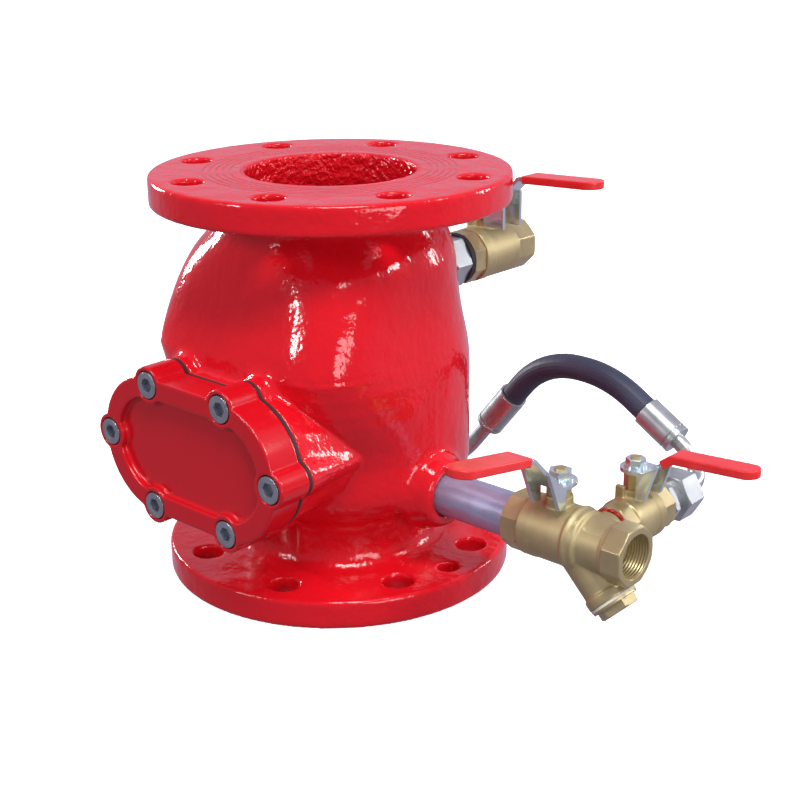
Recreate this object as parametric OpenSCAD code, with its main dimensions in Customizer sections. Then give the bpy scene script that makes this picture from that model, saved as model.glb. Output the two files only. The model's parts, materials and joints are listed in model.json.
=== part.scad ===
// Wet-pipe alarm check valve with alarm, test and drain lines.
// Origin at the centre of the lower flange face, +Z up the waterway, hand-hole cover on -Y,
// alarm line on +X, drain valve and hose port on +Y. All sizes in millimetres.

/* [Flanges] */
// Outside diameter of both flanges
flange_d = 220; // [212:1:230]
// Thickness of each flange
flange_t = 18; // [15:0.5:20]
// Diameter of the bolt circle
bolt_circle_d = 180; // [176:1:186]
// Diameter of each bolt hole
bolt_hole_d = 19; // [16:0.5:22]
// Bolt holes in each flange
bolt_count = 8; // [4:4:8]
// Chamfer on the flange edges
flange_chamfer = 1; // [0.5:0.1:2]

/* [Body] */
// Height over both flanges
body_h = 254; // [250:1:266]
// Bore through both flanges
bore_d = 104; // [100:1:106]
// Outside radius of the barrel
barrel_r = 85; // [84:0.5:90]
// Outside radius of the neck above the lower flange
neck_r = 62; // [60:0.5:66]
// Outside radius of the neck under the upper flange
top_neck_r = 67; // [64:0.5:70]
// How far the hood reaches forward of the centre line
hood_reach = 94; // [91:0.5:97]
// Thickness of the chamber wall
wall = 9; // [8:0.5:10]
// Height of the chamber floor
floor_z = 80; // [79:0.5:82]
// Ribs round the lower neck
rib_count = 8; // [4:4:8]
// Radius of each rib
rib_r = 4; // [3:0.5:5]

/* [Hand hole] */
// Height of the hand-hole centre
hand_hole_z = 102.4; // [101:0.2:105]
// Distance from the middle to each round end's centre
hand_hole_c = 31.9; // [30:0.1:33]
// Radius of the round ends of the opening
hand_hole_r = 27; // [24:0.5:28]
// Radius of the round ends of the cover
cover_r = 42.5; // [42:0.1:44]
// Radius of the screw pitch line round each end's centre
screw_pitch_r = 38.2; // [37.5:0.1:39]
// Radius of the lobe round each screw
lobe_r = 11.3; // [10.5:0.1:12.5]
// Thickness of the cover
cover_t = 22; // [20:0.5:24]
// Thickness of the gasket
gasket_t = 2; // [1:0.5:3]
// Distance from the centre line to the gasket face of the body
neck_face_y = 101; // [100:0.5:104]
// Depth of the cover's front panel
panel_depth = 4.5; // [3:0.5:6]
// Radius of the round ends of the front panel
panel_r = 30; // [28:0.5:31]
// Diameter of the cover screws
screw_d = 10; // [8:1:10]
// Length of the cover screws under the head
screw_len = 32; // [28:1:36]

/* [Clapper] */
// Width of the seat ring wall
seat_w = 8; // [7:0.5:9]
// Height of the seat ring
seat_h = 30; // [28:0.5:32]
// How far the seat stands above the chamber floor
seat_proud = 4; // [3:0.5:6]
// Thickness of the rubber facing
facing_t = 4.5; // [3:0.5:6]
// Thickness of the clapper disc
clapper_t = 8.5; // [7:0.5:10]
// Distance of the hinge pin behind the centre line
hinge_y = 66; // [65.5:0.1:66.5]
// Diameter of the hinge pin
pin_d = 8; // [6:0.5:8]
// Bolt through the middle of the clapper
clapper_bolt_d = 12; // [10:1:14]

/* [Lines] */
// Height of the alarm line
alarm_z = 67; // [66.5:0.1:67.5]
// Distance from the waterway to the alarm valve's stem
alarm_stem_x = 176.5; // [172:0.5:184]
// End of the alarm boss
alarm_boss_x = 96; // [94:0.5:100]
// Outside diameter of the pipe nipples
pipe_d = 26.9; // [26:0.1:27.4]
// Inside diameter of the pipe nipples
pipe_bore_d = 20; // [18:0.5:21]
// Height of the drain line
drain_z = 175.5; // [172:0.5:178]
// End of the drain boss
drain_boss_y = 97; // [94:1:100]
// Distance from the waterway to the drain valve's stem
drain_stem_y = 148; // [146:0.5:154]

/* [Large ball valves] */
// Outside radius of the ball housing
large_body_r = 18; // [17.5:0.1:18.5]
// Radius of the ball
large_ball_r = 14; // [13.5:0.1:14.3]
// Radius of the port through the ball
large_port_r = 9.5; // [8:0.5:9.5]
// Width over the flats of the end collars
large_collar_af = 33.5; // [32:0.5:36]
// Height of the lever plate above the port
large_plate_z = 30; // [28:0.5:32]
// Run of the lever's bent arm
large_run = 23.5; // [20:0.5:26]
// Rise of the lever's bent arm
large_rise = 23.5; // [20:0.5:26]
// Length of the lever's handle
large_handle = 61; // [56:1:68]
// Upward slope of the handle in degrees
large_tilt = 9.5; // [5:0.5:12]
// Upward slope of the drain valve's handle in degrees
drain_tilt = 2.5; // [0:0.5:6]
// Width of the lever's strip
large_strip_w = 14.5; // [13:0.5:16]

/* [Small ball valve] */
// Outside radius of the ball housing
small_body_r = 15; // [14.6:0.1:15.5]
// Radius of the ball
small_ball_r = 11; // [10.5:0.1:11.3]
// Radius of the port through the ball
small_port_r = 7; // [6:0.5:7.4]
// Width over the flats of the end collars
small_collar_af = 27; // [26:0.5:29]
// Height of the lever plate above the port
small_plate_z = 30; // [28:0.5:32]
// Run of the lever's bent arm
small_run = 18; // [15:0.5:20]
// Rise of the lever's bent arm
small_rise = 13.5; // [10:0.5:16]
// Length of the lever's handle
small_handle = 50; // [44:1:56]
// Upward slope of the handle in degrees
small_tilt = 4; // [2:0.5:7]
// Width of the lever's strip
small_strip_w = 11; // [10:0.5:12]

/* [Levers] */
// Thickness of the lever's sheet
sheet_t = 2.5; // [2:0.25:3]
// Thickness of the red sleeve round the strip
sleeve_t = 1.4; // [1:0.1:2]

/* [Strainer] */
// Distance from the stem to the foot of the strainer branch
strainer_foot = 8.5; // [8:0.25:10]
// Length of the strainer branch along its slope
strainer_len = 42.5; // [41:0.5:45]
// Outside radius of the strainer branch
strainer_r = 13.5; // [13:0.25:14]
// Distance from the stem to the alarm outlet's mouth
outlet_len = 52.5; // [51:0.5:58]
// Distance from the stem to the test branch
branch_x = 21.5; // [21:0.25:23]
// Length of the test branch from the centre of the alarm line
branch_len = 19; // [18.5:0.25:21]

/* [Hose] */
// Outside radius of the hose
hose_r = 8.2; // [7.5:0.1:8.6]
// Outside radius of the ferrules
ferrule_r = 9.8; // [9.6:0.1:11]
// Length of the front ferrule
front_ferrule = 27; // [24:0.5:30]
// Length of the rear ferrule
rear_ferrule = 32; // [26:0.5:34]
// Radius of the bent tubes at the hose ends
tube_r = 5; // [4.5:0.1:5.5]
// Bend radius of the tubes at the hose ends
tube_bend = 12; // [10.5:0.5:13]
// Sideways place of the hose port
port_x = 7.4; // [4:0.2:9]
// Height of the hose port
port_z = 36; // [35:0.5:37]
// Slope of the hose at its rear end in degrees
rear_slope = 51; // [46:1:54]
// Slope of the hose at its front end in degrees
front_slope = 31; // [28:1:36]
// Straight tube between the rear bend and its ferrule
rear_tube = 23; // [18:0.5:26]
// Straight run of the hose outside each ferrule
hose_lead = 12; // [6:0.5:14]
// Length of each swivel nut
hose_nut_len = 16; // [14:0.5:17]
// Width over the flats of the swivel nuts
hose_nut_af = 27; // [26:0.5:29]
// Distance of the body's hose port face behind the centre line
port_boss_y = 74; // [72:0.5:76]

/* [Hidden] */
$fn = 64;

// Clearances: fit between pieces that stay put, run between a shaft and its hole, gap between bodies
fit = 0.05;
run = 0.05;
gap = 0.3;
over = 1;

red = "firebrick";
brass = "goldenrod";
zinc = "lightsteelblue";
chrome = "silver";
bronze = "peru";
rubber = "dimgray";

// Derived sizes of the body and the clapper
bore_r = bore_d / 2;
chamber_r = barrel_r - wall;
seat_r = bore_r + seat_w;
seat_top = floor_z + seat_proud;
seat_z = seat_top - seat_h;
clapper_r = seat_r - 1;
disc_z = seat_top + facing_t;
hinge_z = disc_z + clapper_t / 2;
hub_r = 8;
hub_w = 26;
lug_w = 9;
bush_t = 2;
groove_r = seat_r - 4.5;
gallery_r = chamber_r - 4;
gallery_h = 16;
cover_y = neck_face_y + gasket_t + cover_t;
screw_spots = [for (sx = [-1, 1], sz = [-1, 0, 1])
    [sx * (hand_hole_c + (sz == 0 ? screw_pitch_r : 0)), hand_hole_z + sz * screw_pitch_r]];
head_d = 16;
head_h = 10;
socket_af = 8;
socket_depth = 5;
tap_slack = 3;

// Fixed sizes of the two sizes of ball valve
large_stem_r = 4.5;
large_stem_neck_r = 8;
large_stem_neck_z = 23;
large_seam = 18;
large_tail = 11.5;
large_outlet = 36.5;
large_socket = 13;
large_sleeve_from = 4;
small_stem_r = 4;
small_stem_neck_r = 7;
small_stem_neck_z = 19;
small_seam = 13;
small_tail = 11.5;
small_outlet = 23;
small_socket = 8;
small_sleeve_from = -8;
pipe_socket_r = pipe_d / 2 + fit;
small_socket_r = 9;
flange_part = 0.6;
short_foot = 6;
long_foot = flange_part * large_run + sheet_t;
large = [large_body_r, large_ball_r, large_port_r, large_collar_af, large_plate_z, [large_run, large_rise],
    large_handle, large_tilt, large_stem_r, large_stem_neck_r, large_stem_neck_z, large_seam, large_tail,
    large_outlet, pipe_socket_r, large_socket, large_sleeve_from, large_strip_w, short_foot];
drain = [for (i = [0 : len(large) - 1]) i == 7 ? drain_tilt : i == 18 ? long_foot : large[i]];
small = [small_body_r, small_ball_r, small_port_r, small_collar_af, small_plate_z, [small_run, small_rise],
    small_handle, small_tilt, small_stem_r, small_stem_neck_r, small_stem_neck_z, small_seam, small_tail,
    small_outlet, small_socket_r, small_socket, small_sleeve_from, small_strip_w, short_foot];
function body_r(v) = v[0];
function ball_r(v) = v[1];
function port_r(v) = v[2];
function collar_af(v) = v[3];
function plate_z(v) = v[4];
function arm(v) = v[5];
function handle(v) = v[6];
function tilt(v) = v[7];
function stem_r(v) = v[8];
function stem_neck_r(v) = v[9];
function stem_neck_z(v) = v[10];
function seam(v) = v[11];
function tail_len(v) = v[12];
function outlet_end(v) = v[13];
function socket_r(v) = v[14];
function socket_len(v) = v[15];
function sleeve_from(v) = v[16];
function strip_w(v) = v[17];
function foot_len(v) = v[18];
function chamber(v) = ball_r(v) + 1.4;
function seat_in(v) = ball_r(v) / 2;
function seat_out(v) = ball_r(v) - 2.5;
function thread_r(v) = stem_r(v) - 1;

// Places along the alarm, test and drain lines
tail_start = alarm_stem_x - large_seam - large_tail;
test_x = alarm_stem_x + branch_x;
seal_t = 1.5;
test_stem_y = branch_len + seal_t + small_outlet;
test_end_y = test_stem_y + small_seam + small_tail;
drain_start = drain_stem_y - large_seam - large_tail;
seal_ring_t = 4;
nipple_grip = 13;

// Places along the hose line, which lies in one upright plane
hose_adapter_hex = 5;
nut_stand = 8.5;
function nut_from(face) = face + hose_adapter_hex + nut_stand;
function nut_to(face) = nut_from(face) + hose_nut_len;
nut_floor = 3;
collar_t = 4;
collar_r = 8.5;
spigot_r = 10;
tube_lead = 10.5;
hose_y = nut_to(test_end_y) + tube_lead + tube_bend;
tube_slope = 50;
tube_run = 7;
tube_curve = 30;
grip = 16;
hose_stop = 7;

// Rear end of the hose, up the slope from the port
function along(a, d) = [d * cos(a), d * sin(a)];
rear_foot = [port_x, port_z] + along(rear_slope, tube_bend + rear_tube);
rear_start = rear_foot + along(rear_slope, rear_ferrule + hose_lead);
// Front end of the hose, back from the test valve
front_turn = [test_x, alarm_z] - along(-tube_slope, tube_bend + tube_run);
front_foot = front_turn
    + tube_curve * [sin(front_slope) - sin(tube_slope), cos(front_slope) - cos(tube_slope)];
front_start = front_foot - along(-front_slope, front_ferrule + hose_lead);
// Two arcs and a short level crest join the leads: the radii follow from the span and the drop
crest = 4;
span = front_start - rear_start - [crest, 0];
det = sin(rear_slope) * (1 - cos(front_slope)) + sin(front_slope) * (1 - cos(rear_slope));
rear_arc = (span[0] * (1 - cos(front_slope)) + span[1] * sin(front_slope)) / det;
front_arc = (span[0] * (1 - cos(rear_slope)) - span[1] * sin(rear_slope)) / det;

// Rods, rings and prisms along X, from x0 to x1
module rod(x0, x1, r) translate([x0, 0, 0]) rotate([0, 90, 0]) cylinder(h = x1 - x0, r = r);
module tube(x0, x1, r, inner) difference() {
    rod(x0, x1, r);
    rod(x0 - over, x1 + over, inner);
}
module prism(x0, x1, af, sides) translate([x0, 0, 0]) rotate([0, 90, 0]) rotate(180 / sides)
    cylinder(h = x1 - x0, d = af / cos(180 / sides), $fn = sides);
// A turned collar or nut: a prism whose corners are chamfered at both ends
module collar(x0, x1, af, sides, chamfer = 1.2) intersection() {
    prism(x0, x1, af, sides);
    translate([x0, 0, 0]) rotate([0, 90, 0]) rotate_extrude()
        polygon([[0, 0], [af / 2, 0], [af / 2 + 2 * chamfer, chamfer],
            [af / 2 + 2 * chamfer, x1 - x0 - chamfer], [af / 2, x1 - x0], [0, x1 - x0]]);
}
module bead(x, r, width) translate([x, 0, 0]) rotate([0, 90, 0]) rotate_extrude()
    translate([r, 0]) circle(d = width, $fn = 32);

// Frames of the three valves: local X along the flow, local Z up the stem, lever towards local -Y
module at_alarm() translate([alarm_stem_x, 0, alarm_z]) children();
module at_test() translate([test_x, test_stem_y, alarm_z]) rotate(90) children();
module at_drain() translate([0, drain_stem_y, drain_z]) rotate(90) children();
module at_port() translate([port_x, 0, port_z]) rotate(90) children();
module at_test_end() translate([test_x, 0, alarm_z]) rotate(90) children();

// Outline of the cast skin: height, half width, reach to the front, reach to the rear, squareness in front
hood_top = body_h - flange_t;
skin = [
    [flange_t / 2, neck_r + 10, neck_r + 10, neck_r + 10, 2],
    [flange_t, neck_r + 7, neck_r + 7, neck_r + 7, 2],
    [flange_t + 3, neck_r + 3, neck_r + 3, neck_r + 3, 2],
    [flange_t + 8, neck_r + 0.6, neck_r + 0.6, neck_r + 0.6, 2],
    [flange_t + 24, neck_r, neck_r, neck_r, 2],
    [flange_t + 29, neck_r + 2, neck_r + 2, neck_r + 2, 2],
    [flange_t + 35, (neck_r + barrel_r) / 2, (neck_r + barrel_r) / 2, (neck_r + barrel_r) / 2, 2],
    [flange_t + 41, barrel_r - 4.5, barrel_r - 4.5, barrel_r - 4.5, 2],
    [flange_t + 47, barrel_r - 1.2, barrel_r - 1.2, barrel_r - 1.2, 2],
    [flange_t + 54, barrel_r, barrel_r, barrel_r, 2],
    [hood_top - 146, barrel_r, barrel_r, barrel_r, 2],
    [hood_top - 136, barrel_r, barrel_r + 0.5, barrel_r, 2.05],
    [hood_top - 126, barrel_r, barrel_r + 2, barrel_r, 2.12],
    [hood_top - 116, barrel_r, barrel_r + 4, barrel_r, 2.22],
    [hood_top - 106, barrel_r, hood_reach - 3, barrel_r, 2.4],
    [hood_top - 96, barrel_r, hood_reach - 1, barrel_r - 0.6, 3.5],
    [hood_top - 85, barrel_r - 1, hood_reach - 1, barrel_r - 2.6, 5],
    [hood_top - 71, barrel_r - 3, hood_reach - 5, barrel_r - 7, 5],
    [hood_top - 59, barrel_r - 4.5, hood_reach - 10, barrel_r - 9.5, 4.9],
    [hood_top - 47, barrel_r - 5, hood_reach - 14, barrel_r - 12, 4.2],
    [hood_top - 37, barrel_r - 5, hood_reach - 17.5, barrel_r - 14, 3.5],
    [hood_top - 29, barrel_r - 6, hood_reach - 20.5, barrel_r - 15, 3],
    [hood_top - 22, barrel_r - 9, top_neck_r + 3.5, barrel_r - 15.5, 2.6],
    [hood_top - 16, top_neck_r + 5, top_neck_r + 1.5, top_neck_r + 1.5, 2.3],
    [hood_top - 9, top_neck_r + 1.5, top_neck_r, top_neck_r, 2],
    [hood_top - 4, top_neck_r + 1.5, top_neck_r + 1.5, top_neck_r + 1.5, 2],
    [hood_top, top_neck_r + 5, top_neck_r + 5, top_neck_r + 5, 2],
    [hood_top + flange_t / 2, top_neck_r + 8, top_neck_r + 8, top_neck_r + 8, 2]];
skin_sides = 48;
function skin_r(row, a) = let (n = sin(a) < 0 ? row[4] : 2, y = sin(a) < 0 ? row[2] : row[3])
    pow(pow(abs(cos(a)) / row[1], n) + pow(abs(sin(a)) / y, n), -1 / n);
function ring(row) = [for (i = [0 : skin_sides - 1]) let (a = 360 * i / skin_sides, r = skin_r(row, a))
    [r * cos(a), r * sin(a), row[0]]];

// Closed loft through the rings of the skin
module skin_loft() {
    rows = len(skin);
    n = skin_sides;
    points = [for (row = skin) each ring(row)];
    low = [[for (i = [0 : n - 1]) i]];
    high = [[for (i = [n - 1 : -1 : 0]) (rows - 1) * n + i]];
    sides = [for (k = [0 : rows - 2], i = [0 : n - 1]) let (j = (i + 1) % n)
        each [[k * n + i, (k + 1) * n + i, k * n + j], [k * n + j, (k + 1) * n + i, (k + 1) * n + j]]];
    polyhedron(points, concat(low, sides, high), convexity = 6);
}

module flange(z) translate([0, 0, z]) rotate_extrude() polygon([[0, 0], [flange_d / 2 - flange_chamfer, 0],
    [flange_d / 2, flange_chamfer], [flange_d / 2, flange_t - flange_chamfer],
    [flange_d / 2 - flange_chamfer, flange_t], [0, flange_t]]);

// Bolt holes straddle the X and Y axes
module bolt_holes(z) for (i = [0 : bolt_count - 1]) rotate(360 / bolt_count * (i + 0.5))
    translate([bolt_circle_d / 2, 0, z - over]) cylinder(d = bolt_hole_d, h = flange_t + 2 * over);

// Turned grooves on a flange face
groove_pitch = 4;
groove_depth = 0.7;
module face_grooves(z) translate([0, 0, z]) rotate_extrude() for (i = [0 : 4])
    translate([bore_r + 9 + i * groove_pitch, 0]) polygon([[-groove_depth, 0], [0, -groove_depth],
        [groove_depth, 0], [0, groove_depth]]);

// Stadium with round ends, in the plane of the cover
module stadium(r) {
    square([2 * hand_hole_c, 2 * r], center = true);
    for (s = [-1, 1]) translate([s * hand_hole_c, 0]) circle(r);
}
module lobes(r, spots = screw_spots) for (p = spots) translate([p[0], p[1] - hand_hole_z]) circle(r);
// Extrudes an outline of the cover's plane from y0 towards the front to y1, both measured forward
module plate(y0, y1) translate([0, -y0, hand_hole_z]) rotate([90, 0, 0])
    linear_extrude(y1 - y0) children();

// Neck of the hand hole: drafted towards the barrel, with short lobes above and below,
// and side lobes that run back as tapering fins
neck_root_y = 40;
neck_len = 62;
neck_draft = 7;
neck_step = 0.15;
lobe_len = 26;
fin_len = 56;
fin_tip_r = 3;
fin_drop = 4.5;
fin_turn = 3;
// The fins' tilted ends stay inside a short straight lobe behind the face
fin_set = lobe_r * (sin(fin_drop) + sin(fin_turn));
module from_face(x, back = 0) translate([x, back - neck_face_y, hand_hole_z]) children();
module hand_hole_neck() {
    for (s = [-1, 1]) from_face(s * hand_hole_c) rotate([-90, 0, 0])
        cylinder(r1 = cover_r, r2 = cover_r - neck_draft, h = neck_len);
    from_face(-hand_hole_c) rotate([90, 0, 90]) linear_extrude(2 * hand_hole_c)
        polygon([[0, neck_step - cover_r], [neck_len, neck_step + neck_draft - cover_r],
            [neck_len, cover_r - neck_draft - neck_step], [0, cover_r - neck_step]]);
    plate(neck_face_y - lobe_len, neck_face_y)
        lobes(lobe_r, [for (p = screw_spots) if (p[1] != hand_hole_z) p]);
    plate(neck_face_y - 2 * fin_set, neck_face_y)
        lobes(lobe_r, [for (p = screw_spots) if (p[1] == hand_hole_z) p]);
    for (s = [-1, 1]) from_face(s * (hand_hole_c + screw_pitch_r), fin_set)
        rotate([-90 - fin_drop, 0, s * fin_turn])
            cylinder(r1 = lobe_r - neck_step, r2 = fin_tip_r, h = fin_len);
}

alarm_boss_r = 20.5;
drain_boss_r = 21.5;
port_boss_r = 14;
boss_root = 55;
boss_flare = 8;
module boss(reach, r, flare_at) {
    start = flare_at - boss_flare;
    rod(boss_root, reach, r);
    translate([start, 0, 0]) rotate([0, 90, 0])
        cylinder(h = min(2 * boss_flare, reach - start), r1 = r + boss_flare, r2 = r);
}

// Chamber above the seat, turned about the waterway, with room for the hinge hub
module chamber_space() {
    rotate_extrude() polygon([[0, floor_z], [chamber_r, floor_z], [chamber_r, hood_top - 98],
        [chamber_r - 3, hood_top - 86], [chamber_r - 10, hood_top - 59], [bore_r + wall, hood_top - 30],
        [bore_r + 2, hood_top - 10], [bore_r, hood_top], [bore_r, body_h + over], [0, body_h + over]]);
    translate([0, hinge_y, hinge_z]) rotate([0, 90, 0])
        cylinder(r = hub_r + over, h = hub_w + over, center = true);
}

// Two lugs on the chamber's rear wall carry the hinge pin
lug_r = 7.5;
module hinge_lugs() intersection() {
    for (s = [-1, 1]) translate([s * (hub_w / 2 + over + lug_w / 2), 0, 0]) {
        translate([0, hinge_y, hinge_z]) rotate([0, 90, 0]) cylinder(r = lug_r, h = lug_w, center = true);
        translate([-lug_w / 2, hinge_y - lug_r, floor_z - over])
            cube([lug_w, 3 * lug_r, hinge_z - floor_z + over]);
    }
    cylinder(r = chamber_r + over, h = body_h);
}
pin_len = hub_w + 2 * lug_w + 2 * over + 2;

rib_proud = 2.6;
rib_h = flange_t + 22;
drip_hole_d = 13;
drip_hole_r = 93.5;
drip_depth = 9;
module valve_body() color(red) difference() {
    union() {
        difference() {
            union() {
                flange(0);
                flange(hood_top);
                skin_loft();
                hand_hole_neck();
                for (i = [0 : rib_count - 1]) rotate(360 / rib_count * (i + 0.5))
                    translate([neck_r + rib_proud - rib_r, 0, flange_t / 2]) rotate(180)
                        cylinder(r = rib_r, h = rib_h);
                translate([0, 0, alarm_z]) {
                    boss(alarm_boss_x, alarm_boss_r, barrel_r);
                    bead(alarm_boss_x - 5, alarm_boss_r - 1, 6);
                }
                translate([0, 0, drain_z]) rotate(90) boss(drain_boss_y, drain_boss_r, barrel_r - 8);
                at_port() boss(port_boss_y, port_boss_r, neck_r);
            }
            chamber_space();
        }
        hinge_lugs();
    }
    translate([0, 0, -over]) cylinder(r = bore_r, h = body_h);
    translate([0, 0, seat_z]) cylinder(r = seat_r + fit, h = seat_h);
    translate([0, 0, alarm_z - gallery_h / 2]) cylinder(r = gallery_r, h = gallery_h);
    plate(neck_root_y, neck_face_y + over) stadium(hand_hole_r);
    for (p = screw_spots) translate([p[0], -neck_face_y - over, p[1]]) rotate([-90, 0, 0])
        cylinder(r = screw_d / 2 + fit, h = screw_len + tap_slack - cover_t - gasket_t + head_h + over);
    bolt_holes(0);
    bolt_holes(hood_top);
    face_grooves(0);
    face_grooves(body_h);
    translate([drip_hole_r, 0, flange_t - drip_depth]) cylinder(d = drip_hole_d, h = drip_depth + over);
    translate([0, hinge_y, hinge_z]) rotate([0, 90, 0])
        cylinder(r = pin_d / 2 + fit, h = pin_len, center = true);
    translate([0, 0, alarm_z]) {
        rod(gallery_r - over, alarm_boss_x, pipe_bore_d / 2);
        rod(alarm_boss_x - nipple_grip, alarm_boss_x + over, pipe_socket_r);
    }
    translate([0, 0, drain_z]) rotate(90) {
        rod(chamber_r - 20, drain_boss_y, pipe_bore_d / 2);
        rod(drain_boss_y - nipple_grip, drain_boss_y + over, pipe_socket_r);
    }
    at_port() {
        rod(bore_r - 8, port_boss_y, tube_r);
        rod(port_boss_y - nipple_grip, port_boss_y + over, small_socket_r);
    }
}

// Cover: a dished casting with a sunk front panel and counterbored screw lobes
cover_hollow = 8;
panel_land = 0.5;
module hand_hole_cover() color(red) difference() {
    plate(neck_face_y + gasket_t, cover_y) {
        stadium(cover_r);
        lobes(lobe_r);
    }
    plate(cover_y - panel_depth, cover_y + over) difference() {
        stadium(panel_r);
        lobes(lobe_r + panel_land);
    }
    plate(neck_face_y + gasket_t - over, neck_face_y + gasket_t + cover_hollow) stadium(hand_hole_r - over);
    for (p = screw_spots) translate([p[0], -cover_y - over, p[1]]) rotate([-90, 0, 0]) {
        cylinder(r = screw_d / 2 + 0.5, h = cover_t + 2 * over);
        cylinder(r = head_d / 2 + 0.6, h = head_h + over);
    }
}

module cover_gasket() color(rubber) plate(neck_face_y, neck_face_y + gasket_t) difference() {
    union() {
        stadium(cover_r - 0.4);
        lobes(lobe_r - 0.4);
    }
    stadium(hand_hole_r);
    lobes(screw_d / 2 + 0.5);
}

module cover_screws() color(zinc) for (p = screw_spots)
    translate([p[0], -cover_y, p[1]]) rotate([-90, 0, 0]) difference() {
        union() {
            cylinder(d = head_d, h = head_h);
            cylinder(d = screw_d, h = head_h + screw_len);
        }
        translate([0, 0, -over]) cylinder(d = socket_af / cos(30), h = socket_depth + over, $fn = 6);
    }

// Seat: ring with an annular groove, drilled through to the alarm gallery round it
seat_relief = 0.8;
seat_groove_w = 3;
seat_drillings = 8;
seat_drill_r = 2;
module seat_ring() color(bronze) difference() {
    translate([0, 0, seat_z]) cylinder(r = seat_r, h = seat_h);
    translate([0, 0, seat_z - over]) cylinder(r = bore_r + seat_relief, h = seat_h + 2 * over);
    rotate_extrude() translate([groove_r, alarm_z]) square([seat_groove_w, seat_top - alarm_z + over]);
    for (i = [0 : seat_drillings - 1]) rotate(360 / seat_drillings * i)
        translate([0, 0, alarm_z + seat_drill_r + over]) rod(groove_r + over, seat_r + over, seat_drill_r);
}

// Clapper: a disc with an arm back to the hinge hub
arm_h = 7;
rib_w = 6;
retainer_r = bore_r - 6;
retainer_t = 3;
module clapper() color(bronze) difference() {
    union() {
        translate([0, 0, disc_z]) cylinder(r = clapper_r, h = clapper_t);
        translate([0, 0, disc_z]) cylinder(r = 2 * clapper_bolt_d, h = clapper_t + arm_h);
        translate([-hub_w / 2, 0, disc_z]) cube([hub_w, hinge_y - hub_r / 2, clapper_t]);
        for (s = [-1, 1]) translate([s * (hub_w - rib_w) / 2 - rib_w / 2, 0, disc_z])
            rotate([90, 0, 90]) linear_extrude(rib_w)
                polygon([[0, 0], [hinge_y - hub_r, 0], [hinge_y - hub_r, clapper_t],
                    [clapper_bolt_d, clapper_t + arm_h], [0, clapper_t + arm_h]]);
        translate([0, hinge_y, hinge_z]) rotate([0, 90, 0]) cylinder(r = hub_r, h = hub_w, center = true);
    }
    translate([0, 0, disc_z - over]) cylinder(d = clapper_bolt_d + 2 * fit, h = clapper_t + arm_h + 2 * over);
    translate([0, hinge_y, hinge_z]) rotate([0, 90, 0])
        cylinder(r = pin_d / 2 + run + bush_t + fit, h = hub_w + 2 * over, center = true);
}

module clapper_facing() color(rubber) translate([0, 0, seat_top]) difference() {
    cylinder(r = clapper_r - 0.5, h = facing_t);
    translate([0, 0, -over]) cylinder(d = clapper_bolt_d + 2 * fit, h = facing_t + 2 * over);
}

module facing_retainer() color(bronze) translate([0, 0, seat_top - retainer_t]) difference() {
    cylinder(r = retainer_r, h = retainer_t);
    translate([0, 0, -over]) cylinder(d = clapper_bolt_d + 2 * fit, h = retainer_t + 2 * over);
}

bolt_head_h = 7;
nut_h = 9;
module clapper_bolt() color(zinc) translate([0, 0, seat_top - retainer_t]) {
    translate([0, 0, -bolt_head_h]) cylinder(d = 1.8 * clapper_bolt_d, h = bolt_head_h, $fn = 6);
    cylinder(d = clapper_bolt_d, h = retainer_t + facing_t + clapper_t + arm_h + nut_h + 2);
}
module clapper_nut() color(zinc) translate([0, 0, disc_z + clapper_t + arm_h]) difference() {
    cylinder(d = 1.8 * clapper_bolt_d, h = nut_h, $fn = 6);
    translate([0, 0, -over]) cylinder(d = clapper_bolt_d + 2 * fit, h = nut_h + 2 * over);
}

module hinge_pin() color(zinc) translate([0, hinge_y, hinge_z]) rotate([0, 90, 0])
    cylinder(d = pin_d, h = pin_len, center = true);
bush_len = hub_w / 2 - 2;
module hinge_bushes() color(brass) for (s = [-1, 1])
    translate([s * (hub_w - bush_len) / 2, hinge_y, hinge_z]) rotate([0, 90, 0]) difference() {
        cylinder(r = pin_d / 2 + run + bush_t, h = bush_len, center = true);
        cylinder(r = pin_d / 2 + run, h = bush_len + 2 * over, center = true);
    }

// Ball valve pieces in the valve's own frame
band_t = 0.4;
post_w = 3;
module ball_housing(v, side = -1) {
    rod(-seam(v), -seam(v) / 2, body_r(v) + band_t);
    rod(-seam(v), seam(v), body_r(v));
    cylinder(r = stem_neck_r(v), h = stem_neck_z(v));
    // Stop post beside the stem, on the side that the lever never crosses
    translate([side * (flange_x(v) + post_w / 2) - post_w / 2, over, 0])
        cube([post_w, 2 * post_w, stem_neck_z(v) + post_w]);
}
module ball_space(v) {
    rod(-seam(v) - over, seat_out(v), chamber(v));
    rod(0, outlet_end(v) + over, port_r(v));
    cylinder(r = stem_r(v) + run, h = plate_z(v));
}
module valve_body_piece(v, side = -1) color(brass) difference() {
    union() {
        ball_housing(v, side);
        collar(seam(v), outlet_end(v), collar_af(v), 8);
    }
    ball_space(v);
    rod(outlet_end(v) - socket_len(v), outlet_end(v) + over, socket_r(v));
}
module tailpiece(v) color(brass) difference() {
    union() {
        rod(-seam(v), -seat_out(v), chamber(v) - fit);
        collar(-seam(v) - tail_len(v), -seam(v), collar_af(v), 8);
    }
    rod(-seam(v) - tail_len(v) - over, -seat_out(v) + over, port_r(v));
    rod(-seam(v) - tail_len(v) - over, -seam(v) - tail_len(v) + socket_len(v), socket_r(v));
}
slot_w = 4;
slot_depth = 3;
module ball(v) color(chrome) difference() {
    sphere(ball_r(v));
    rotate(90) rod(-ball_r(v) - over, ball_r(v) + over, port_r(v));
    translate([-slot_w / 2 - fit, -ball_r(v), ball_r(v) - slot_depth])
        cube([slot_w + 2 * fit, 2 * ball_r(v), ball_r(v)]);
}
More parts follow.
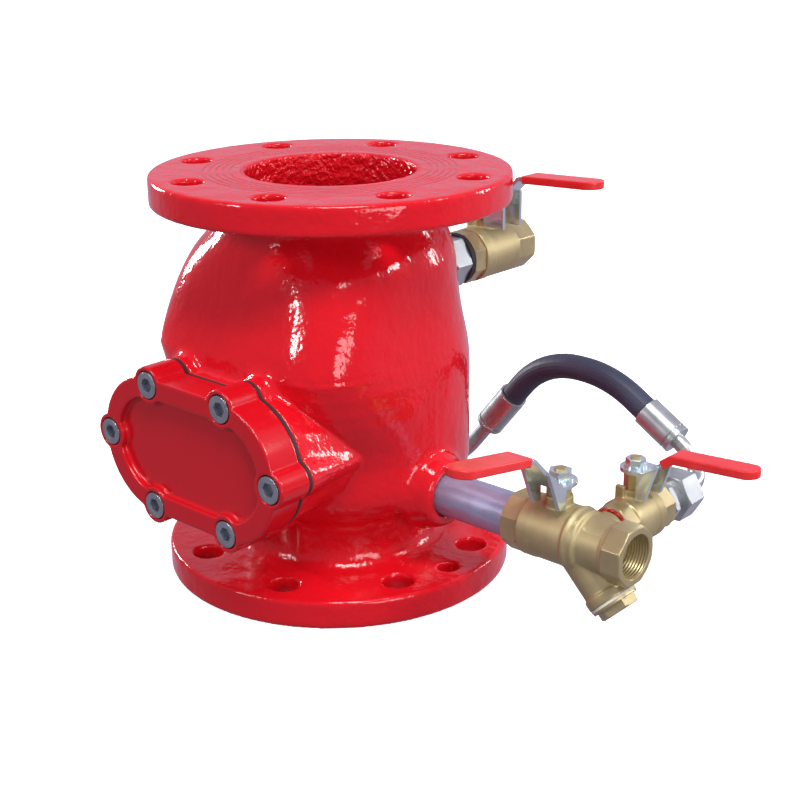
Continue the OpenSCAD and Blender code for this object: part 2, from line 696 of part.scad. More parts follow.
// Two rings whose inner faces are turned to the ball's radius
module ball_seats(v) color("white") for (side = [-90, 90]) rotate([0, side, 0])
    rotate_extrude() difference() {
        translate([port_r(v), seat_in(v)]) square([chamber(v) - fit - port_r(v), seat_out(v) - seat_in(v)]);
        circle(ball_r(v) + run);
    }
module stem(v) color(brass) {
    cylinder(r = stem_r(v), h = plate_z(v));
    // The tang fits the slot in the ball, which cuts the stem's foot away below it
    cylinder(r = thread_r(v), h = plate_z(v) + sheet_t + lever_nut_h(v) + 1);
}
function lever_nut_h(v) = stem_r(v) + 1;
module stem_piece(v) intersection() {
    stem(v);
    union() {
        translate([-slot_w / 2, -stem_r(v), ball_r(v) - slot_depth + fit])
            cube([slot_w, 2 * stem_r(v), slot_depth + 2]);
        translate([-ball_r(v), -ball_r(v), ball_r(v) + fit])
            cube([2 * ball_r(v), 2 * ball_r(v), 2 * plate_z(v)]);
    }
}
// Corner radius of the gland nut
function gland_r(v) = 1.65 * stem_r(v);
module gland_nut(v) color(brass) difference() {
    translate([0, 0, stem_neck_z(v)])
        cylinder(r = gland_r(v), h = plate_z(v) - gap - stem_neck_z(v), $fn = 6);
    cylinder(r = stem_r(v) + run, h = plate_z(v));
}
module lever_nut(v) color(chrome) translate([0, 0, plate_z(v) + sheet_t]) difference() {
    union() {
        cylinder(d = 3.5 * thread_r(v) / cos(30), h = lever_nut_h(v), $fn = 6);
        cylinder(r = 2.3 * thread_r(v), h = 1.2);
    }
    translate([0, 0, -over]) cylinder(r = thread_r(v) + fit, h = lever_nut_h(v) + 2 * over);
}

// Side view of a lever as a bent strip: hub, arm and handle, of thickness t
function hub_end(v) = stem_neck_r(v) + 2;
function lever_path(v) = let (h = hub_end(v), a = arm(v), z = plate_z(v) + sheet_t / 2)
    [[-h, z], [h, z], [h + a[0], z + a[1]], [h + a[0], z + a[1]] + along(tilt(v), handle(v))];
module strip(path, t) for (i = [0 : len(path) - 2]) let (d = path[i + 1] - path[i]) {
    translate(path[i]) rotate(atan2(d[1], d[0])) translate([0, -t / 2]) square([norm(d), t]);
    if (i > 0) translate(path[i]) circle(d = t, $fn = 32);
}
// Turns a side view in the plane of the handle and the stem into a solid of width w about the lever's middle
module swept_side(w) rotate([90, 0, -90]) translate([0, 0, -w / 2]) linear_extrude(w) children();
// Plan view of the strip as a solid: round hub, arm that narrows to width w, round tip
module plan(v, w, end) linear_extrude(plate_z(v) + arm(v)[1] + handle(v)) {
    circle(hub_end(v));
    polygon([[-root_x(v), 0], [root_x(v), 0], [root_x(v), -hub_end(v)], [w / 2, -flange_end(v)],
        [-w / 2, -flange_end(v)], [-root_x(v), -hub_end(v)]]);
    translate([-w / 2, -end + w / 2]) square([w, end - w / 2]);
    translate([0, -end + w / 2]) circle(w / 2);
}
function lever_reach(v) = hub_end(v) + arm(v)[0] + handle(v) * cos(tilt(v));
// Side flanges turned down beside the hub, clear of the gland nut: their feet are the stops
foot_lift = 1.6;
function flange_x(v) = gland_r(v) + gap;
function root_x(v) = flange_x(v) + sheet_t;
function flange_end(v) = hub_end(v) + flange_part * arm(v)[0];
module lever_flanges(v) {
    low = body_r(v) + foot_lift;
    for (x = [-root_x(v), flange_x(v)]) translate([x, 0, 0]) rotate([90, 0, 90]) linear_extrude(sheet_t)
        polygon([[-hub_end(v) + sheet_t, plate_z(v)], [-hub_end(v) + sheet_t, low],
            [-hub_end(v) + sheet_t - foot_len(v), low],
            [-flange_end(v), plate_z(v) + flange_part * arm(v)[1]],
            [-hub_end(v), plate_z(v) + sheet_t], [-hub_end(v) + sheet_t, plate_z(v) + sheet_t]]);
}
module lever(v) color(chrome) difference() {
    union() {
        intersection() {
            swept_side(2 * handle(v)) strip(lever_path(v), sheet_t);
            plan(v, strip_w(v), lever_reach(v));
        }
        lever_flanges(v);
    }
    cylinder(r = thread_r(v) + fit, h = 2 * plate_z(v));
}
// The sleeve's path starts on the handle, or before the bend where its start is negative
function sleeve_path(v) = let (bend = lever_path(v)[2], tip = lever_path(v)[3], from = sleeve_from(v))
    concat(from < 0 ? [bend + along(atan2(arm(v)[1], arm(v)[0]), from), bend] : [bend + along(tilt(v), from)],
        [tip + along(tilt(v), 2 * sleeve_t)]);
module lever_sleeve(v) color(red) difference() {
    intersection() {
        swept_side(2 * handle(v)) strip(sleeve_path(v), sheet_t + 2 * sleeve_t);
        sleeve_plan(v, strip_w(v) + 2 * sleeve_t);
    }
    intersection() {
        swept_side(2 * handle(v)) strip(lever_path(v), sheet_t + 2 * fit);
        plan(v, strip_w(v) + 2 * fit, lever_reach(v) + fit);
    }
}
// Plan view of the sleeve, round at the tip
module sleeve_plan(v, w) linear_extrude(plate_z(v) + arm(v)[1] + handle(v)) {
    translate([-w / 2, -lever_reach(v) - sleeve_t + w / 2]) square([w, lever_reach(v) + sleeve_t - w / 2]);
    translate([0, -lever_reach(v) - sleeve_t + w / 2]) circle(w / 2);
}

module alarm_nipple() color(zinc) translate([0, 0, alarm_z])
    tube(alarm_boss_x - nipple_grip, tail_start + nipple_grip, pipe_d / 2, pipe_bore_d / 2);
module alarm_tailpiece() at_alarm() tailpiece(large);

// Strainer branch: its axis slopes down at 45 degrees from a foot on the alarm line
module at_strainer() translate([strainer_foot, 0, 0]) rotate([0, 45, 0]) children();
strainer_bore_r = strainer_r - 2.5;
strainer_rim = 6;
screen_start = 17;
cap_grip = 9;
outlet_collar = 13;
tube_body_r = 15.5;
branch_r = 12;
mouth_r = 13;
mouth_depth = 16;
module strainer_body() color(brass) at_alarm() difference() {
    union() {
        ball_housing(large);
        rod(seam(large) - over, outlet_len, tube_body_r);
        bead(seam(large) - 3, body_r(large) - 0.8, 4);
        bead(seam(large) + 1.6, tube_body_r + 0.6, 4);
        collar(outlet_len - outlet_collar, outlet_len, large_collar_af, 8);
        bead(outlet_len - outlet_collar - 1.2, tube_body_r, 1.6);
        at_strainer() {
            rod(0, strainer_len, strainer_r);
            rod(strainer_len - strainer_rim, strainer_len, strainer_r + 1.2);
        }
        translate([branch_x, 0, 0]) rotate(90) rod(0, branch_len, branch_r);
    }
    ball_space(large);
    rod(0, outlet_len + over, port_r(large));
    rod(outlet_len - mouth_depth, outlet_len + over, mouth_r);
    at_strainer() rod(screen_start, strainer_len + over, strainer_bore_r);
    translate([branch_x, 0, 0]) rotate(90) {
        rod(0, branch_len + over, small_port_r);
        rod(branch_len - small_socket, branch_len + over, small_socket_r);
    }
}
module alarm_ball() at_alarm() ball(large);
module alarm_ball_seats() at_alarm() ball_seats(large);
module alarm_stem() color(brass) at_alarm() stem_piece(large);
module alarm_gland_nut() at_alarm() gland_nut(large);
module alarm_lever() at_alarm() lever(large);
module alarm_lever_sleeve() at_alarm() lever_sleeve(large);
module alarm_lever_nut() at_alarm() lever_nut(large);
screen_t = 0.8;
screen_r = strainer_bore_r - gap;
module strainer_screen() color(chrome) at_alarm() at_strainer()
    tube(screen_start, strainer_len - cap_grip, screen_r, screen_r - screen_t);
cap_gasket_t = 1.5;
cap_hex_af = 21;
cap_hex_h = 5;
cap_flange_t = 1.5;
module strainer_cap_gasket() color("ivory") at_alarm() at_strainer()
    tube(strainer_len, strainer_len + cap_gasket_t, strainer_r + 0.9, strainer_bore_r);
module strainer_cap() color(brass) at_alarm() at_strainer() {
    rod(strainer_len - cap_grip, strainer_len + cap_gasket_t + over, strainer_bore_r - fit);
    rod(strainer_len + cap_gasket_t, strainer_len + cap_gasket_t + cap_flange_t, strainer_r + 0.5);
    collar(strainer_len + cap_gasket_t + cap_flange_t - over,
        strainer_len + cap_gasket_t + cap_flange_t + cap_hex_h, cap_hex_af, 6);
}

module test_nipple() color(zinc) at_test_end()
    tube(branch_len - small_socket, branch_len + seal_t + small_socket, small_socket_r - fit, small_port_r);
module test_thread_seal() color("crimson") at_test_end()
    tube(branch_len, branch_len + seal_t, branch_r + 0.8, small_socket_r);
// The small valve is turned end for end: its tailpiece is on the hose side
module test_valve_body() at_test() mirror([1, 0, 0]) valve_body_piece(small, 1);
module test_tailpiece() at_test() mirror([1, 0, 0]) tailpiece(small);
module test_ball() at_test() ball(small);
module test_ball_seats() at_test() ball_seats(small);
module test_stem() color(brass) at_test() stem_piece(small);
module test_gland_nut() at_test() gland_nut(small);
module test_lever() at_test() lever(small);
module test_lever_sleeve() at_test() lever_sleeve(small);
module test_lever_nut() at_test() lever_nut(small);

// Hose end fittings: an adapter with a hex, and a swivel nut that draws a bent tube onto it
module hose_adapter(face, grip_len) color(zinc) difference() {
    union() {
        rod(face - grip_len, face, small_socket_r - fit);
        collar(face, face + hose_adapter_hex, small_collar_af - 2, 6);
        rod(face, nut_to(face) - nut_floor - collar_t, spigot_r);
    }
    rod(face - grip_len - over, nut_to(face), tube_r);
}
module hose_nut(face) color(zinc) difference() {
    collar(nut_from(face), nut_to(face), hose_nut_af, 6, 2);
    rod(nut_from(face) - over, nut_to(face) - nut_floor, spigot_r + fit);
    rod(nut_from(face), nut_to(face) + over, tube_r + fit);
}
module test_hose_adapter() at_test_end() hose_adapter(test_end_y, small_socket);
module body_hose_adapter() at_port() hose_adapter(port_boss_y, nipple_grip);
module hose_nut_front() at_test_end() hose_nut(test_end_y);
module hose_nut_rear() at_port() hose_nut(port_boss_y);

// A tube bent in the local X-Y plane: leaves the origin along X and turns left by angle
tube_bore = 3.4;
module bent(angle, r, bend, inner) translate([0, bend, 0]) rotate(-90) rotate_extrude(angle = angle)
    translate([bend, 0]) difference() {
        circle(r);
        circle(inner);
    }
// Closed wall between two lofts of rings that share their order and number of points
hose_sides = 24;
module shell(outer, inner) {
    n = hose_sides;
    rows = len(outer);
    skip = rows * n;
    last = skip - n;
    points = concat([for (stop = outer) each stop], [for (stop = inner) each stop]);
    walls = [for (k = [0 : rows - 2], i = [0 : n - 1]) let (p = k * n + i, q = k * n + (i + 1) % n)
        each [[p, p + n, q], [q, p + n, q + n],
            [skip + p, skip + q, skip + p + n], [skip + q, skip + q + n, skip + p + n]]];
    ends = [for (i = [0 : n - 1]) let (j = (i + 1) % n)
        each [[i, j, skip + i], [j, skip + j, skip + i],
            [last + i, skip + last + i, last + j], [last + j, skip + last + i, skip + last + j]]];
    polyhedron(points, concat(walls, ends), convexity = 6);
}
// Rear tube: [distance behind the centre line, distance up the slope, turn] at each ring, flare first
bend_steps = 9;
function bend_stop(a) = [hose_y - tube_bend * (1 - sin(a)), tube_bend * (1 - cos(a)), a];
flare_y = nut_to(port_boss_y) - nut_floor;
rear_route = concat([for (d = [-collar_t, -over, 0]) [flare_y + d, 0, 0]],
    [for (i = [0 : bend_steps]) bend_stop(90 * i / bend_steps)],
    [[hose_y, tube_bend + rear_tube + grip, 90]]);
function rear_ring(stop, r) = [for (i = [0 : hose_sides - 1])
    let (a = 360 * i / hose_sides, d = stop[1] + r * cos(a) * cos(stop[2]), side = r * sin(a))
    [port_x + d * cos(rear_slope) - side * sin(rear_slope), stop[0] - r * cos(a) * sin(stop[2]),
        port_z + d * sin(rear_slope) + side * cos(rear_slope)]];
module hose_elbow_rear() color(zinc)
    shell([for (stop = rear_route) rear_ring(stop, stop[0] < flare_y ? collar_r : tube_r)],
        [for (stop = rear_route) rear_ring(stop, tube_bore)]);
// Front tube: flare inside its swivel nut, bend, and a gentle curve up to the ferrule
module hose_elbow_front() color(zinc) at_test_end() {
    tube(nut_to(test_end_y) - nut_floor - collar_t, nut_to(test_end_y) - nut_floor, collar_r, tube_bore);
    tube(nut_to(test_end_y) - nut_floor, hose_y - tube_bend, tube_r, tube_bore);
    translate([hose_y - tube_bend, 0, 0]) rotate([tube_slope, 0, 0]) {
        bent(90, tube_r, tube_bend, tube_bore);
        translate([tube_bend, tube_bend, 0]) rotate(90) tube(0, tube_run, tube_r, tube_bore);
        translate([tube_bend, tube_bend + tube_run, 0]) rotate([0, 0, 90]) rotate([-90, 0, 0]) {
            bent(tube_slope - front_slope, tube_r, tube_curve, tube_bore);
            translate(tube_curve * [sin(tube_slope - front_slope), 1 - cos(tube_slope - front_slope), 0])
                rotate(tube_slope - front_slope) tube(0, grip, tube_r, tube_bore);
        }
    }
}

// Upright plane of the hose: local X is world X, local Y is world Z
module hose_plane() translate([0, hose_y, 0]) rotate([90, 0, 0]) children();
ferrule_lip = 3;
crimp_depth = 0.8;
crimp_w = 1.5;
module ferrule(length) color(zinc) difference() {
    rod(0, length, ferrule_r);
    rod(hose_stop, length + over, hose_r + fit);
    rod(-over, length, tube_r + fit);
    // Crimped waist next to the tube
    translate([ferrule_lip, 0, 0]) rotate([0, 90, 0]) rotate_extrude()
        translate([ferrule_r - crimp_depth, 0]) square([2 * crimp_depth, crimp_w]);
}
module hose_ferrule_rear() hose_plane() translate(rear_foot) rotate(rear_slope) ferrule(rear_ferrule);
module hose_ferrule_front() hose_plane() translate(front_foot) rotate(180 - front_slope)
    ferrule(front_ferrule);
// The hose is one loft of rings along its route: [x, z, heading] at each ring, from rear to front
hose_steps = 10;
hose_bore_r = (tube_r + fit) / cos(180 / hose_sides);
function arc_stop(from, r, a0, turn) = let (a = a0 * turn)
    concat(from + r * [sin(a0) - sin(a), cos(a) - cos(a0)], [a]);
hose_route = concat(
    [concat(rear_foot + along(rear_slope, hose_stop + fit), [rear_slope])],
    [for (i = [0 : hose_steps]) arc_stop(rear_start, rear_arc, rear_slope, 1 - i / hose_steps)],
    [for (i = [0 : hose_steps]) arc_stop(front_start, front_arc, -front_slope, i / hose_steps)],
    [concat(front_foot - along(-front_slope, hose_stop + fit), [-front_slope])]);
function hose_ring(stop, r) = [for (i = [0 : hose_sides - 1]) let (a = 360 * i / hose_sides)
    [stop[0] - r * cos(a) * sin(stop[2]), hose_y + r * sin(a), stop[1] + r * cos(a) * cos(stop[2])]];
module test_hose() color(rubber)
    shell([for (stop = hose_route) hose_ring(stop, hose_r)],
        [for (stop = hose_route) hose_ring(stop, hose_bore_r)]);

drain_hex_af = 32;
module drain_nipple() color(zinc) translate([0, 0, drain_z]) rotate(90) difference() {
    union() {
        rod(drain_boss_y - nipple_grip, drain_start + nipple_grip, pipe_d / 2);
        collar(drain_boss_y + over, drain_start - seal_ring_t, drain_hex_af, 6);
    }
    rod(0, 2 * drain_stem_y, pipe_bore_d / 2);
}
module drain_seal_ring() color(rubber) translate([0, 0, drain_z]) rotate(90)
    tube(drain_start - seal_ring_t, drain_start, pipe_d / 2 + 4, pipe_d / 2 + fit);
module drain_tailpiece() at_drain() tailpiece(drain);
module drain_valve_body() at_drain() valve_body_piece(drain);
module drain_ball() at_drain() ball(drain);
module drain_ball_seats() at_drain() ball_seats(drain);
module drain_stem() color(brass) at_drain() stem_piece(drain);
module drain_gland_nut() at_drain() gland_nut(drain);
module drain_lever() at_drain() lever(drain);
module drain_lever_sleeve() at_drain() lever_sleeve(drain);
module drain_lever_nut() at_drain() lever_nut(drain);

valve_body();
hand_hole_cover();
cover_gasket();
cover_screws();
seat_ring();
clapper();
clapper_facing();
facing_retainer();
clapper_bolt();
clapper_nut();
hinge_pin();
hinge_bushes();
alarm_nipple();
alarm_tailpiece();
strainer_body();
alarm_ball();
alarm_ball_seats();
alarm_stem();
alarm_gland_nut();
alarm_lever();
alarm_lever_sleeve();
alarm_lever_nut();
strainer_screen();
strainer_cap();
strainer_cap_gasket();
test_nipple();
test_thread_seal();
test_valve_body();
test_tailpiece();
test_ball();
test_ball_seats();
test_stem();
test_gland_nut();
test_lever();
test_lever_sleeve();
test_lever_nut();
test_hose_adapter();
hose_nut_front();
hose_elbow_front();
hose_ferrule_front();
test_hose();
hose_ferrule_rear();
hose_elbow_rear();
hose_nut_rear();
body_hose_adapter();
drain_nipple();
drain_seal_ring();
drain_tailpiece();
drain_valve_body();
drain_ball();
drain_ball_seats();
drain_stem();
drain_gland_nut();
drain_lever();
drain_lever_sleeve();
drain_lever_nut();
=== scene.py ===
# A wet-pipe sprinkler alarm valve dressed for a studio picture, in the order it is put together:
# the cast body, its hand-hole cover, the clapper inside, then the alarm, test and drain lines.
import json
import math

import bpy
import numpy as np
from mathutils import Matrix, Vector

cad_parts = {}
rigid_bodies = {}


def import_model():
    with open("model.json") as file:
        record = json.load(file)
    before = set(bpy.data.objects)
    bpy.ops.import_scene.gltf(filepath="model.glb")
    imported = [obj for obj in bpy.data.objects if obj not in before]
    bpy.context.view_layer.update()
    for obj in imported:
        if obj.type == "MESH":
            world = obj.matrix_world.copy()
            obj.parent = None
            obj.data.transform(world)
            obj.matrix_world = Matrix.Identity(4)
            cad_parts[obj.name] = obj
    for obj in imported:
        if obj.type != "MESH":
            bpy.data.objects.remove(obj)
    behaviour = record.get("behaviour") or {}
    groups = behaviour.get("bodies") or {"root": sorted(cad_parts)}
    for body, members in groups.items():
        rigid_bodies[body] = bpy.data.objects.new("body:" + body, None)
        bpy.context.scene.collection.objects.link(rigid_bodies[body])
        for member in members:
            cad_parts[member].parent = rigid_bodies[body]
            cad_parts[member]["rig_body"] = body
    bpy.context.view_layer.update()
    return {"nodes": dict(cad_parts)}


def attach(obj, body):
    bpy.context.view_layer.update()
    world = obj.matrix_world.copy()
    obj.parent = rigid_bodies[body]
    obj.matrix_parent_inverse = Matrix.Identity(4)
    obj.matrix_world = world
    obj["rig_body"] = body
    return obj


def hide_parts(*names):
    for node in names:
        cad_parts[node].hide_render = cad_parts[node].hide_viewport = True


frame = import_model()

scene = bpy.context.scene

# Camera: a short telephoto lens stands in front of the alarm line's corner, a little above the
# upper flange, and is rolled by half a degree. The frame is square.
PHOTO_SIDE = 800
FOCAL_PIXELS = 1469.9
azimuth, elevation, roll = (math.radians(a) for a in (42.42, 19.555, -0.561))
back = Vector((math.sin(azimuth) * math.cos(elevation), -math.cos(azimuth) * math.cos(elevation),
               math.sin(elevation)))
level = Vector((math.cos(azimuth), math.sin(azimuth), 0))
above = back.cross(level)
right = level * math.cos(roll) + above * math.sin(roll)
up = above * math.cos(roll) - level * math.sin(roll)
lens = bpy.data.cameras.new("studio_camera")
lens.sensor_width = 36
lens.lens = FOCAL_PIXELS * lens.sensor_width / PHOTO_SIDE
lens.clip_end = 60
camera = bpy.data.objects.new("studio_camera", lens)
camera.matrix_world = Matrix((right, up, back)).transposed().to_4x4()
camera.location = (0.6262, -0.6252, 0.4189)
scene.collection.objects.link(camera)
scene.camera = camera
scene.view_settings.view_transform = "Standard"


# Studio: a pale floor that runs out of the picture on all sides and throws no light back on the
# part, a soft sky that is brighter behind it, a broad roof light, and small softboxes whose
# reflections draw the bright spots on the enamel.
class Wire:
    """An output socket of a node sheet: arithmetic on it adds Math nodes."""

    def __init__(self, sheet, socket):
        self.sheet = sheet
        self.socket = socket

    def maths(self, operation, other=0.0, swap=False):
        first, second = (other, self) if swap else (self, other)
        return self.sheet.add("Math", {"operation": operation}, {0: first, 1: second})

    def __add__(self, other):
        return self.maths("ADD", other)

    def __sub__(self, other):
        return self.maths("SUBTRACT", other)

    def __rsub__(self, other):
        return self.maths("SUBTRACT", other, True)

    def __mul__(self, other):
        return self.maths("MULTIPLY", other)

    def __truediv__(self, other):
        return self.maths("DIVIDE", other)

    def __rtruediv__(self, other):
        return self.maths("DIVIDE", other, True)

    def __pow__(self, other):
        return self.maths("POWER", other)

    def __rpow__(self, other):
        return self.maths("POWER", other, True)

    def __gt__(self, other):
        return self.maths("GREATER_THAN", other)

    def __lt__(self, other):
        return self.maths("LESS_THAN", other)

    __radd__ = __add__
    __rmul__ = __mul__


class NodeSheet:
    """The nodes of the sky or of a finish."""

    def __init__(self, owner):
        owner.use_nodes = True
        self.tree = owner.node_tree

    def add(self, kind, settings=None, sockets=None, out=0):
        """A new node: its settings come first, then the value or wire of each socket."""
        node = self.tree.nodes.new("ShaderNode" + kind)
        for name, value in (settings or {}).items():
            setattr(node, name, value)
        for name, value in (sockets or {}).items():
            if isinstance(value, Wire):
                self.tree.links.new(value.socket, node.inputs[name])
            else:
                node.inputs[name].default_value = value
        return Wire(self, node.outputs[out])


class Finish(NodeSheet):
    """A material on one or more pieces; its constants sit on the shader's own sockets."""

    def __init__(self, name, **constants):
        self.material = bpy.data.materials.new(name)
        super().__init__(self.material)
        self.shader = self.tree.nodes["Principled BSDF"]
        for socket, value in constants.items():
            self.shader.inputs[socket.replace("_", " ")].default_value = value
        self.spot = self.add("TexCoord", out="Object")
        split = self.add("SeparateXYZ", {}, {0: self.spot}).socket.node
        self.x, self.y, self.z = (Wire(self, socket) for socket in split.outputs)

    def noise(self, scale, detail, spot=None):
        return self.add("TexNoise", {}, {"Vector": spot or self.spot, "Scale": scale,
                                         "Detail": detail})

    def mix(self, share, first, second):
        return self.add("Mix", {"data_type": "RGBA"}, {"Factor": share, 6: first, 7: second}, out=2)

    def bump(self, height, strength, depth, edge=0.0):
        """Normals of a height; an edge radius also rounds the sharp edges of a machined solid."""
        sockets = {"Strength": strength, "Distance": depth, "Height": height}
        if edge:
            sockets["Normal"] = self.add("Bevel", {"samples": 4}, {"Radius": edge})
        return self.add("Bump", {}, sockets)

    def feed(self, **wires):
        for socket, wire in wires.items():
            self.tree.links.new(wire.socket, self.shader.inputs[socket.replace("_", " ")])

    def on(self, *names):
        for name in names:
            piece = frame["nodes"][name] if isinstance(name, str) else name
            piece.data.materials.clear()
            piece.data.materials.append(self.material)


FLOOR_REACH = 30
floor_corners = [(x * FLOOR_REACH, y * FLOOR_REACH, 0)
                 for x, y in ((-1, -1), (1, -1), (1, 1), (-1, 1))]
floor_mesh = bpy.data.meshes.new("studio_floor")
floor_mesh.from_pydata(floor_corners, [], [(0, 1, 2, 3)])
floor = bpy.data.objects.new("studio_floor", floor_mesh)
floor.visible_glossy = False
floor.visible_diffuse = False
scene.collection.objects.link(floor)
paper = Finish("pale_paper", Base_Color=(0.94, 0.94, 0.94, 1), Roughness=0.7, Specular_IOR_Level=0.2,
               Emission_Color=(1, 1, 1, 1), Emission_Strength=0.75)
paper.feed(Roughness=paper.noise(40.0, 2.0) * 0.1 + 0.65)
paper.on(floor)

DIM_FRONT, BRIGHT_BACK = 0.25, 0.50
FADE_START, FADE_END = -0.2, 0.75
BRIGHT_WAY = Vector((-0.25, 0.93, 0.28)).normalized()
sky = bpy.data.worlds.new("studio_sky")
sky_sheet = NodeSheet(sky)
facing = sky_sheet.add("VectorMath", {"operation": "DOT_PRODUCT"},
                       {0: sky_sheet.add("TexCoord", out="Generated"), 1: BRIGHT_WAY}, out="Value")
glow = sky_sheet.add("MapRange", {"interpolation_type": "SMOOTHSTEP"},
                     {"Value": facing, "From Min": FADE_START, "From Max": FADE_END,
                      "To Min": DIM_FRONT, "To Max": BRIGHT_BACK})
backdrop = sky_sheet.tree.nodes["Background"]
backdrop.inputs["Color"].default_value = (0.95, 0.87, 1.12, 1)
sky_sheet.tree.links.new(glow.socket, backdrop.inputs["Strength"])
scene.world = sky


def hang(name, lamp, place, way):
    """Put a lamp in the studio, shining along way."""
    holder = bpy.data.objects.new(name, lamp)
    holder.location = place
    holder.rotation_mode = "QUATERNION"
    holder.rotation_quaternion = way.to_track_quat("-Z", "Y")
    scene.collection.objects.link(holder)


sun = bpy.data.lights.new("roof_light", "SUN")
sun.energy = 1.5
sun.angle = math.radians(16)
hang("roof_light", sun, (0, 0, 0), Vector((-0.62, 0.36, -1.25)))

# Name, place, aim, width, height and watts of each softbox
for name, place, aim, width, height, watts in (
        ("left_window", (-1.55, -0.05, 0.52), (0, 0, 0.16), 0.2, 0.4, 15),
        ("front_lamp", (-0.45, -1.4, 0.8), (0, 0, 0.16), 0.14, 0.3, 5.5),
        ("right_lamp", (1.1, 0.62, 0.95), (0, 0, 0.16), 0.14, 0.3, 4),
        ("rear_window", (0.75, 1.3, 0.45), (0, 0, 0.14), 0.16, 0.45, 4),
        ("top_softbox", (0.35, -0.45, 1.6), (0, 0, 0.14), 0.25, 0.25, 5),
        ("low_card", (1.15, -0.35, 0.3), (0.18, 0, 0.07), 0.5, 0.35, 3.5)):
    box = bpy.data.lights.new(name, "AREA")
    box.shape = "RECTANGLE"
    box.size, box.size_y = width, height
    box.energy = watts
    hang(name, box, place, Vector(aim) - Vector(place))

# Body: a grey-iron casting with two drilled flanges, machined on their faces and dipped in thick
# red gloss enamel. Its sand-cast corners are rounded, so the solid is remeshed and smoothed
# between the flanges.
mm = 0.001
BODY_H, FLANGE_T, BORE_R, NECK_FACE_Y = 254 * mm, 18 * mm, 52 * mm, -101 * mm
CAST_BLEND, MACHINED_SOFTNESS = 4 * mm, 0.08


def read_rows(items, field):
    """Positions ("co") of vertices or vectors ("vector") of normals, one row for each."""
    rows = np.zeros(len(items) * 3, np.float32)
    items.foreach_get(field, rows)
    return rows.reshape(-1, 3).astype(float)


def move_points(mesh, points):
    mesh.vertices.foreach_set("co", points.astype(np.float32).ravel())
    mesh.update()


def cast_skin(node, voxel, rounds, softness):
    """Copy of a CAD node with even faces, smoothed in rounds by softness(points), from 0 to 1."""
    source = frame["nodes"][node]
    blank = bpy.data.objects.new(node + "_blank", source.data.copy())
    scene.collection.objects.link(blank)
    even = blank.modifiers.new("even_faces", "REMESH")
    even.mode = "VOXEL"
    even.voxel_size = voxel
    even.use_smooth_shade = True
    bpy.context.view_layer.update()
    shaped = blank.evaluated_get(bpy.context.evaluated_depsgraph_get())
    mesh = bpy.data.meshes.new_from_object(shaped)
    bpy.data.objects.remove(blank)
    points = read_rows(mesh.vertices, "co")
    count = len(points)
    ends = np.zeros(len(mesh.edges) * 2, np.int32)
    mesh.edges.foreach_get("vertices", ends)
    a, b = ends.reshape(-1, 2).T
    links = np.maximum(np.bincount(a, minlength=count) + np.bincount(b, minlength=count), 1)
    share = softness(points)[:, None]
    for _ in range(rounds):
        sums = [np.bincount(a, points[b, axis], count) + np.bincount(b, points[a, axis], count)
                for axis in range(3)]
        mean = np.stack([total / links for total in sums], axis=1)
        points += 0.5 * share * (mean - points)
    move_points(mesh, points)
    piece = bpy.data.objects.new(node + "_skin", mesh)
    scene.collection.objects.link(piece)
    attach(piece, source["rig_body"])
    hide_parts(node)
    return piece


def rise(value, low, high):
    """0 below low, 1 above high, and a straight ramp between."""
    return np.clip((value - low) / (high - low), 0, 1)


def body_softness(p):
    """Full on the cast skin; the flanges and the neck's face, which are machined, stay crisp."""
    over_foot = rise(p[:, 2], FLANGE_T, FLANGE_T + CAST_BLEND)
    under_head = 1 - rise(p[:, 2], BODY_H - FLANGE_T - CAST_BLEND, BODY_H - FLANGE_T)
    behind_face = rise(p[:, 1], NECK_FACE_Y, NECK_FACE_Y + CAST_BLEND)
    return np.maximum(over_foot * under_head * behind_face, MACHINED_SOFTNESS)


body_skin = cast_skin("valve_body", voxel=1.5 * mm, rounds=26, softness=body_softness)

# The hood's shoulders run square down to the hand-hole neck, a little lower than on the solid:
# height, side reach, front reach and squareness of each section, in millimetres.
HOOD_SECTIONS = ((90, 85, 85, 2), (100, 85, 85.5, 2.15), (110, 85, 87, 2.5), (120, 85, 89, 3),
                 (130, 85, 91, 3.5), (140, 85, 92.5, 4), (151, 84, 92.5, 4.8))
SHELL_IN, LEAST_OUTWARD = 79 * mm, 0.25
spots = read_rows(body_skin.data.vertices, "co")
outward = read_rows(body_skin.data.vertex_normals, "vector")
height_at = spots[:, 2]
reach = np.hypot(spots[:, 0], spots[:, 1])
ray = spots[:, :2] / np.maximum(reach, 1e-6)[:, None]
sideways, forward = np.abs(ray).T
section_reach = mm * np.stack([
    ((sideways / side) ** square + (forward / front) ** square) ** (-1 / square)
    for _, side, front, square in HOOD_SECTIONS])
heights = np.array([section[0] for section in HOOD_SECTIONS]) * mm
below = np.clip(np.searchsorted(heights, height_at) - 1, 0, len(heights) - 2)
part = rise(height_at, heights[below], heights[below + 1])
every = np.arange(len(spots))
shoulder = section_reach[below, every] * (1 - part) + section_reach[below + 1, every] * part
faces_out = np.sum(outward[:, :2] * ray, axis=1) > LEAST_OUTWARD
in_hood = ((spots[:, 1] < 0) & (height_at > heights[0]) & (height_at < heights[-1])
           & (reach > SHELL_IN) & faces_out)
grow = np.where(in_hood, np.maximum(shoulder - reach, 0), 0)
spots[:, :2] += ray * grow[:, None]
move_points(body_skin.data, spots)


def srgb(red, green, blue):
    """Linear colour of an 8-bit screen colour."""
    return tuple((c / 255 / 12.92 if c < 10 else ((c / 255 + 0.055) / 1.055) ** 2.4)
                 for c in (red, green, blue)) + (1,)


def shade(colour, factor, lift=0.0):
    """A colour made darker or lighter by a factor."""
    return tuple(c * factor + lift for c in colour[:3]) + (1,)


PAINT_STRENGTH, PAINT_DEPTH = 0.5, 0.6 * mm


